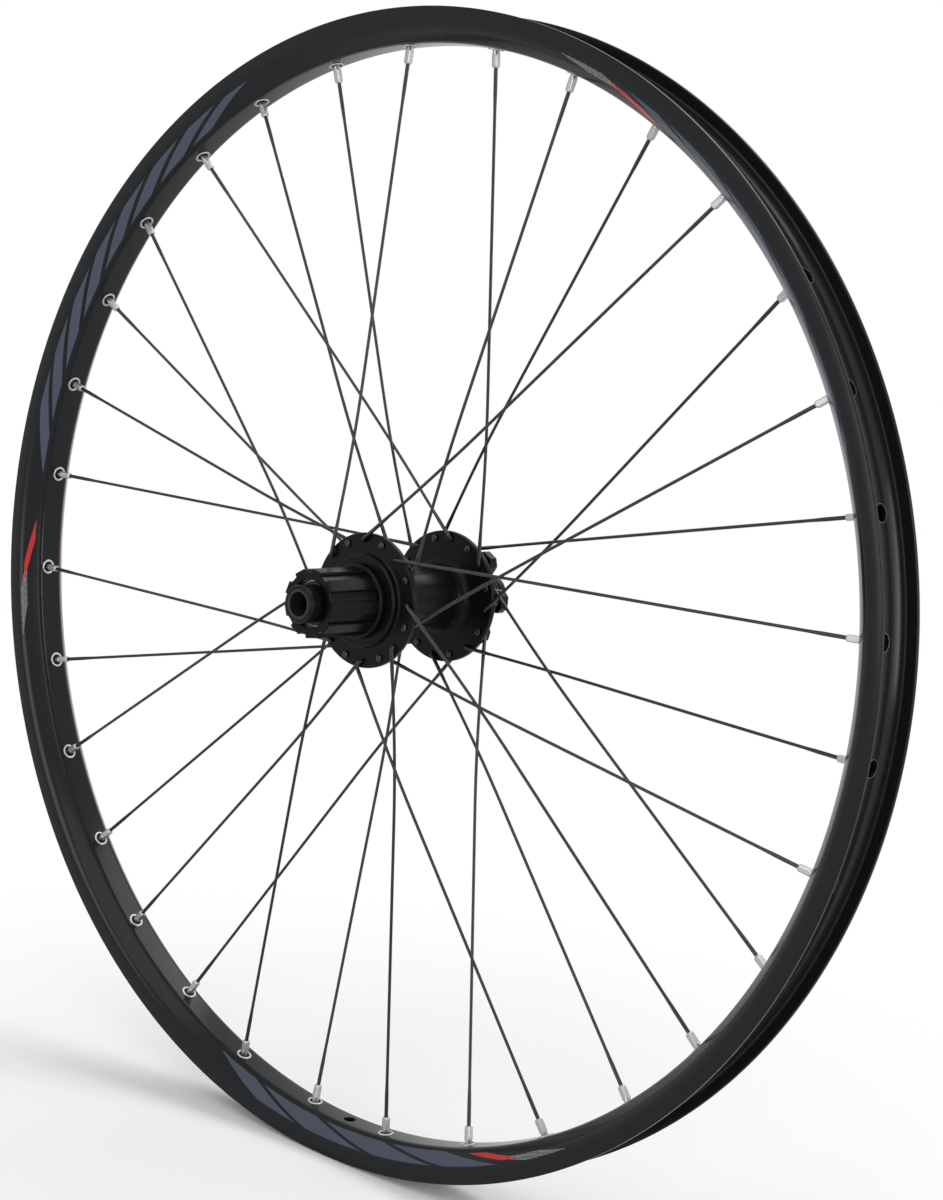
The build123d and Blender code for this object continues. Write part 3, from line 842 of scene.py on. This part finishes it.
class WHEEL_OT_nipples(Operator):
    """Screws a silver nipple on every spoke."""

    bl_idname = "wheel.nipples"
    bl_label = "Nipples"

    def execute(self, context):
        """A nipple is a section carried along its spoke. The section is w / (|cos|^n + |sin|^n)^(1/n): n of 2
        is round, and n of 9 gives the wrench flats. The table's rows are place, w and n."""
        s = settings()
        lace, sizes = Lacing(), s.lacing
        flat, wire, head = sizes.nipple_flats / 2, sizes.wire / 2, sizes.nipple_head / 2
        neck = flat * 1.12
        seat = s.rim.spoke_wall / 2 + sizes.seat_gap
        tip = -sizes.nipple_reach
        shoulder = -0.0042
        table = np.array([
            (tip, wire * 0.98, 2), (tip, flat * 0.82, 2), (tip + 0.0003, flat * 0.94, 3),
            (tip + 0.0007, flat, 6), (tip + 0.0012, flat, 9), (shoulder, flat, 9),
            (shoulder + 0.0006, flat * 1.04, 6), (shoulder + 0.0012, neck, 3), (shoulder + 0.0016, neck, 2),
            (seat - 0.0002, neck, 2), (seat, neck * 1.1, 2), (seat + 0.0003, head * 0.97, 2),
            (seat + 0.0006, head, 2), (seat + 0.0014, head * 0.92, 2), (seat + 0.002, head * 0.6, 2),
            (seat + 0.002, head * 0.25, 2)])
        place, width, power = table.T[..., None]
        sides = 40
        a = angles(sides)
        radius = width / (np.abs(np.cos(a)) ** power + np.abs(np.sin(a)) ** power) ** (1 / power)
        along = lace.outwards
        first = unit(AXLE_WAY - along[:, 1:2] * along)
        ring = circle(first, np.cross(along, first), sides)
        rows = (lace.wall[:, None, None] + place[None, :, :, None] * along[:, None, None]
                + radius[None, :, :, None] * ring[:, None])
        silver = metal_finish("nipple silver", s.finish.silver, roughness=0.4, density=2200.0, wear=0.04,
                              metallic=1.0)
        mesh = mesh_from("nipple_set", [capped_tubes(rows)])
        piece_from(mesh, "nipple_set", silver, "nipple_silver", "wheel", "nipples", sharp=40.0)
        return {"FINISHED"}


def bar_radius(a, bars, tip, width):
    """Radius of crossed bars at angle a, the least of tip / cos and half width / sin in the nearest bar's own
    angle, and that angle."""
    tiny = 1e-6
    pitch = TURN / bars
    own = np.abs((a + pitch / 2) % pitch - pitch / 2)
    return np.minimum(tip / np.cos(own), width / 2 / (np.sin(own) + tiny)), own


class WHEEL_OT_hub_shell(Operator):
    """Turns the hub shell with its ratchet teeth, adds the disc lugs and drills the flanges."""

    bl_idname = "wheel.hub_shell"
    bl_label = "Hub shell"

    def lugs(self, hub, inside, a):
        """The disc seat's crossed bars, with the corners of their tips cut along r (cos + sin) = corner."""
        tip = hub.lug / 2
        bars, own = bar_radius(a, hub.bolts, tip, hub.lug_width)
        corner = tip + hub.lug_width / 2 - hub.lug_corner
        star = np.minimum(bars, corner / (np.cos(own) + np.sin(own)))
        core = np.full_like(star, inside)
        edge = 0.0005
        low, high = hub.disc_seat - hub.seat_thickness, hub.disc_seat
        rows = np.stack([core, star - edge, star, star, star - edge, core])
        return shell(turned(rows, [low, low, low + edge, high - edge, high, high], len(a)))

    def execute(self, context):
        """The shell is turned, and at the ratchet's bore each tooth takes its depth from the radius as a saw
        wave: depth times the part of a tooth that angle a has passed."""
        s = settings()
        hub, axle = s.hub, s.axle
        half = hub.flange / 2
        flange = hub.spoke_circle / 2 + hub.flange_edge
        drive_in, drive_out = hub.drive_flange + half, hub.drive_flange - half
        brake_in, brake_out = hub.brake_flange - half, hub.brake_flange + half
        root_end = drive_in + hub.root_length
        end = hub.disc_seat + hub.spigot_height
        seat, wide = axle.bearing_seat / 2, axle.bearing_width
        mouth, floor = hub.boss_y, hub.tooth_floor
        tooth, boss, root, waist = hub.tooth_root / 2, hub.boss / 2, hub.drive_root / 2, hub.waist / 2
        spigot, bore = hub.spigot / 2, hub.bore / 2
        cut = 0.001
        facets = 20
        a = angles(facets * hub.teeth)
        saw = (a * hub.teeth / TURN) % 1.0 * ((hub.tooth_root - hub.tooth_tip) / 2)
        body = milled([
            (tooth, mouth, 0.0002), (boss - cut, mouth, 0.0003), (boss, mouth + cut, 0.0003),
            (boss, drive_out, 0.0016), (flange, drive_out, 0.0009), (flange, drive_in, 0.0009),
            (root, drive_in, 0.0022), (root, root_end, 0.0025), (waist, root_end + hub.taper, 0.004),
            (waist, brake_in - hub.taper, 0.006), (hub.brake_root / 2, brake_in, 0.003),
            (flange, brake_in, 0.0008), (flange, brake_out, 0.0008), (spigot, brake_out, 0.002),
            (spigot, end, 0.0005), (seat, end, 0.0003), (seat, end - wide, 0.0002),
            (bore, end - wide, 0.0004), (bore, floor + wide, 0.0004), (seat, floor + wide, 0.0002),
            (seat, floor, 0.0002), (tooth, floor, 0.0002)], [0, -1], -saw)
        lugs = self.lugs(hub, (seat + spigot) / 2, a)
        mesh = combined(mesh_from("hub_shell_turned", [body]), mesh_from("disc_lugs", [lugs]), "UNION")
        hole = Lacing().hole
        through = hub.flange * AXLE_WAY
        past = 0.001
        bolts = [polar(hub.bolt_circle / 2, angles(hub.bolts), y)
                 for y in (hub.disc_seat - hub.seat_thickness - past, hub.disc_seat + past)]
        holes = mesh_from("hub_drills", [rods(hole - through, hole + through, hub.spoke_hole, sides=20),
                                         rods(*bolts, hub.bolt, sides=28)])
        mesh = combined(mesh, holes, "DIFFERENCE")
        black = metal_finish("hub satin black", s.finish.hub_black, roughness=0.24, density=2400.0, wear=0.4,
                             specular=0.1)
        piece_from(mesh, "hub_shell_turned", black, "hub_black", "wheel", "hub_shell", sharp=32.0)
        return {"FINISHED"}


class WHEEL_OT_freehub(Operator):
    """Mills the splined freehub body with its stop ring and pawl pockets."""

    bl_idname = "wheel.freehub"
    bl_label = "Freehub body"

    def pockets(self, body, mouth, y_low, y_high):
        """Pockets with a flat floor and far end and a round seat for the pawl's heel, one for each pawl."""
        tilt = np.arcsin(body.pocket_edge / body.seat)
        arc = np.linspace(tilt, np.pi - tilt, num=16)
        floor, tip, edge = body.pocket_floor, body.pocket_tip, body.pocket_edge
        x = np.concatenate([[floor, floor, mouth, mouth], body.pivot + body.seat * np.cos(arc)])
        z = np.concatenate([[edge, -tip, -tip, edge], body.seat * np.sin(arc)])
        turns = [(np.cos(turn), np.sin(turn)) for turn in angles(body.pawls)]
        return [prism(np.stack([x * c - z * s, x * s + z * c], axis=-1), y_low, y_high) for c, s in turns]

    def execute(self, context):
        """The body is turned to the ridges, and between them its radius drops to the larger of the root and
        the ridges' own bars."""
        s = settings()
        hub, body, axle = s.hub, s.freehub, s.axle
        ring_y = hub.boss_y - body.hub_gap
        start = ring_y - body.stop_width
        end = start - body.spline_length
        boss_y = hub.tooth_floor - body.boss_gap
        shoulder = ring_y + body.shoulder_inset
        seat, ridge, stop = axle.bearing_seat / 2, body.ridge / 2, body.stop_ring / 2
        boss, bore = body.pawl_boss / 2, body.boss_bore / 2
        cut = 0.0008
        facets = 60
        bars, _ = bar_radius(angles(facets * body.splines), body.splines, ridge, body.ridge_width)
        blank = milled([
            (ridge, end, 0.0008), (ridge, start, 0.0003), (stop - cut, start, 0.0002),
            (stop, start + cut, 0.0002), (stop, ring_y, 0.0006), (boss, ring_y, 0.0003),
            (boss, boss_y, 0.0004), (bore, boss_y, 0.0003), (bore, shoulder, 0.0003),
            (seat, shoulder, 0.0002), (seat, end, 0.0006)], [0, 1], np.maximum(body.root / 2, bars) - ridge)
        pockets = self.pockets(body, hub.tooth_root / 2, boss_y - body.pocket_width, boss_y + body.boss_gap)
        mesh = combined(mesh_from("freehub_body", [blank]), mesh_from("pawl_pockets", pockets), "DIFFERENCE")
        black = metal_finish("freehub hard black", s.finish.freehub_black, roughness=0.2, density=2000.0,
                             wear=0.5, specular=0.1)
        piece_from(mesh, "freehub_body", black, "freehub_black", "freehub", "freehub", sharp=32.0)
        return {"FINISHED"}


class WHEEL_OT_axle(Operator):
    """Turns the hollow axle."""

    bl_idname = "wheel.axle"
    bl_label = "Axle"

    def execute(self, context):
        s = settings()
        bore, out, end = s.axle.through / 2, s.axle.axle / 2, s.axle.end
        mouth, edge = 0.0005, 0.0002
        tube = lathe([(bore, -end, mouth), (out, -end, edge), (out, end, edge), (bore, end, mouth)],
                     segments=96)
        grey = metal_finish("axle turned grey", s.finish.axle_grey, roughness=0.34, density=3200.0, wear=0.1,
                            metallic=0.6, specular=0.2)
        piece_from(mesh_from("axle_tube", [tube]), "axle_tube", grey, "axle_grey", "axle", "axle")
        return {"FINISHED"}


class WHEEL_OT_end_caps(Operator):
    """Turns the two end caps, each with a groove."""

    bl_idname = "wheel.end_caps"
    bl_label = "End caps"

    def execute(self, context):
        s = settings()
        hub, axle = s.hub, s.axle
        out, cap = axle.axle / 2, axle.cap / 2
        collar, groove, depth, fine = 0.0046, 0.0009, 0.0005, 0.0002
        neck = cap - depth
        caps = []
        for inner, outer in ((axle.drive_cap - axle.end, -axle.end),
                             (hub.disc_seat + hub.spigot_height, axle.end)):
            way = np.sign(outer - inner)
            line = outer - way * collar
            back = line - way * groove
            caps.append(lathe(
                [(out, inner, fine), (cap, inner, 0.0003), (cap, back, fine), (neck, back, fine),
                 (neck, line, fine), (cap, line, fine), (cap, outer, 0.0011), (out, outer, 0.0004)],
                segments=96))
        black = metal_finish("end cap satin black", s.finish.hub_black, roughness=0.32, density=3200.0,
                             wear=0.4, specular=0.13)
        piece_from(mesh_from("end_cap_pair", caps), "end_cap_pair", black, "cap_black", "axle", "end_caps")
        return {"FINISHED"}


class WHEEL_OT_bearings(Operator):
    """Turns the cartridge bearings, whose seals lie a step below their races."""

    bl_idname = "wheel.bearings"
    bl_label = "Bearings"

    def execute(self, context):
        s = settings()
        hub, body, axle = s.hub, s.freehub, s.axle
        wide, bore, edge = axle.bearing_width, axle.axle / 2, axle.bearing / 2
        race = (edge - bore) / 4
        step, fine = 0.0003, 0.0002
        face = [(bore, 0.0), (bore + race, 0.0), (bore + race, step), (edge - race, step), (edge - race, 0.0),
                (edge, 0.0)]
        ring_y = hub.boss_y - body.hub_gap
        pairs = {
            "hub_bearings": (hub.tooth_floor + wide, hub.disc_seat + hub.spigot_height),
            "freehub_bearings": (ring_y + body.shoulder_inset, axle.drive_cap - axle.end + wide)}
        steel = bearing_finish()
        for node, ends in pairs.items():
            rings = []
            for high in ends:
                below = [(r, high - wide + sunk, fine) for r, sunk in face]
                above = [(r, high - sunk, fine) for r, sunk in face[::-1]]
                rings.append(lathe(below + above, segments=72, steps=3))
            name = node.replace("bearings", "bearing_rings")
            piece_from(mesh_from(name, rings), name, steel, "bearing_steel", "axle", node)
        return {"FINISHED"}


class WHEEL_OT_pawls(Operator):
    """Gives the pawls, which stay as imported, their hardened steel."""

    bl_idname = "wheel.pawls"
    bl_label = "Pawls"

    def execute(self, context):
        s = settings()
        steel = metal_finish("pawl hardened steel", s.finish.steel, roughness=0.3, density=1800.0, wear=0.1,
                             metallic=1.0)
        for index in range(s.freehub.pawls):
            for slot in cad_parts[f"pawl_{index + 1}"].material_slots:
                slot.material = steel
        return {"FINISHED"}


def seen_by(work):
    """1 for rays from the camera and for what they show in a reflection or through glass."""
    path = work.add("ShaderNodeLightPath").outputs
    return work.most(work.most(path["Is Camera Ray"], path["Is Transmission Ray"]), path["Is Glossy Ray"])


class WHEEL_OT_stage(Operator):
    """Sets the pale floor, the soft lamps and the camera."""

    bl_idname = "wheel.stage"
    bl_label = "Stage"

    def floor(self, level):
        """A flat pale floor that takes the wheel's shadow and fades to white away from it."""
        far = 12.0
        fade_start, fade_end = 0.29, 0.62
        mesh = bpy.data.meshes.new("floor")
        mesh.from_pydata([(-far, -far, level), (far, -far, level), (far, far, level), (-far, far, level)], [],
                         [(0, 1, 2, 3)])
        material, work, shader, place = start_material("pale floor")
        work.fill(shader.inputs, {"Base Color": rgba(settings().finish.floor), "Roughness": 0.9,
                                  "Specular IOR Level": 0.0})
        away = work.feed(work.add("ShaderNodeVectorMath", operation="LENGTH"), place).outputs["Value"]
        fade = work.times(work.ramp(away, fade_start, fade_end), seen_by(work))
        white = work.add("ShaderNodeEmission")
        blend = work.feed(work.add("ShaderNodeMixShader"), fade, shader.outputs[0], white.outputs[0])
        work.join(blend.outputs[0], work.nodes["Material Output"].inputs["Surface"])
        mesh.materials.append(material)
        floor = linked("floor", mesh)

    def lamp(self, name, place, width, height, power):
        """A soft box that looks at the wheel's centre."""
        light = bpy.data.lights.new(name, "AREA")
        light.shape = "RECTANGLE"
        light.size = width
        light.size_y = height
        light.energy = power
        back = unit(np.array(place))
        placed(name, light, unit(np.cross((0.0, 0.0, 1.0), back)), back, place)

    def world(self):
        """White to the camera and in reflections, and a softer level as light."""
        world = bpy.data.worlds.new("studio")
        world.use_nodes = True
        work = Tree(world.node_tree)
        soft = 0.5
        work.fill(work.nodes["Background"].inputs, {
            "Color": (1.0, 1.0, 1.0, 1.0),
            "Strength": work.math("MULTIPLY_ADD", seen_by(work), 1 - soft, soft)})
        bpy.context.scene.world = world

    def camera(self):
        """The camera's back is (sin az cos el, -cos az cos el, sin el), and its right is turned about that by
        the roll."""
        stage = settings().stage
        az, el, roll = stage.azimuth, stage.elevation, stage.roll
        back = np.array([np.sin(az) * np.cos(el), -np.cos(az) * np.cos(el), np.sin(el)])
        flat = np.array([np.cos(az), np.sin(az), 0.0])
        right = np.cos(roll) * flat + np.sin(roll) * np.cross(back, flat)
        view = bpy.data.cameras.new("camera")
        view.lens = stage.lens
        view.sensor_width = 36.0
        view.clip_end = 100.0
        bpy.context.scene.camera = placed("camera", view, right, back, stage.place)

    def execute(self, context):
        gap = 0.0004
        self.floor(CAD_BOX[0][2] - gap)
        self.lamp("key", (0.4, -2.4, 2.6), width=2.2, height=2.2, power=24.0)
        self.lamp("fold box", (-0.4, -2.4, -0.1), width=1.1, height=1.9, power=27.0)
        self.lamp("bed strip", (2.4, 0.85, 0.1), width=0.8, height=1.9, power=36.0)
        self.lamp("front", (1.9, -1.5, 0.4), width=0.5, height=2.4, power=12.0)
        self.lamp("top", (0.1, 1.7, 2.4), width=1.8, height=1.8, power=28.0)
        self.world()
        self.camera()
        context.scene.view_settings.view_transform = "Standard"
        return {"FINISHED"}


class WHEEL_PT_panel(Panel):
    """Lists the steps that build the wheel."""

    bl_idname = "WHEEL_PT_panel"
    bl_label = "Rear wheel"
    bl_space_type = "VIEW_3D"
    bl_region_type = "UI"
    bl_category = "Wheel"

    def draw(self, context):
        for step in STEPS:
            self.layout.operator(step.bl_idname)


SIZES = (RimSizes, LacingSizes, HubSizes, FreehubSizes, AxleSizes, Finishes, StageSizes, WheelSettings)
STEPS = (WHEEL_OT_rim, WHEEL_OT_eyelets, WHEEL_OT_spokes, WHEEL_OT_nipples, WHEEL_OT_hub_shell,
         WHEEL_OT_freehub, WHEEL_OT_axle, WHEEL_OT_end_caps, WHEEL_OT_bearings, WHEEL_OT_pawls,
         WHEEL_OT_stage)


def register():
    for item in SIZES + STEPS + (WHEEL_PT_panel,):
        bpy.utils.register_class(item)
    bpy.types.Scene.wheel_settings = PointerProperty(type=WheelSettings)


def unregister():
    del bpy.types.Scene.wheel_settings
    for item in reversed(SIZES + STEPS + (WHEEL_PT_panel,)):
        bpy.utils.unregister_class(item)


def main():
    register()
    bpy.ops.wheel.rim()
    bpy.ops.wheel.eyelets()
    bpy.ops.wheel.spokes()
    bpy.ops.wheel.nipples()
    bpy.ops.wheel.hub_shell()
    bpy.ops.wheel.freehub()
    bpy.ops.wheel.axle()
    bpy.ops.wheel.end_caps()
    bpy.ops.wheel.bearings()
    bpy.ops.wheel.pawls()
    bpy.ops.wheel.stage()


if __name__ == "__main__":
    main()
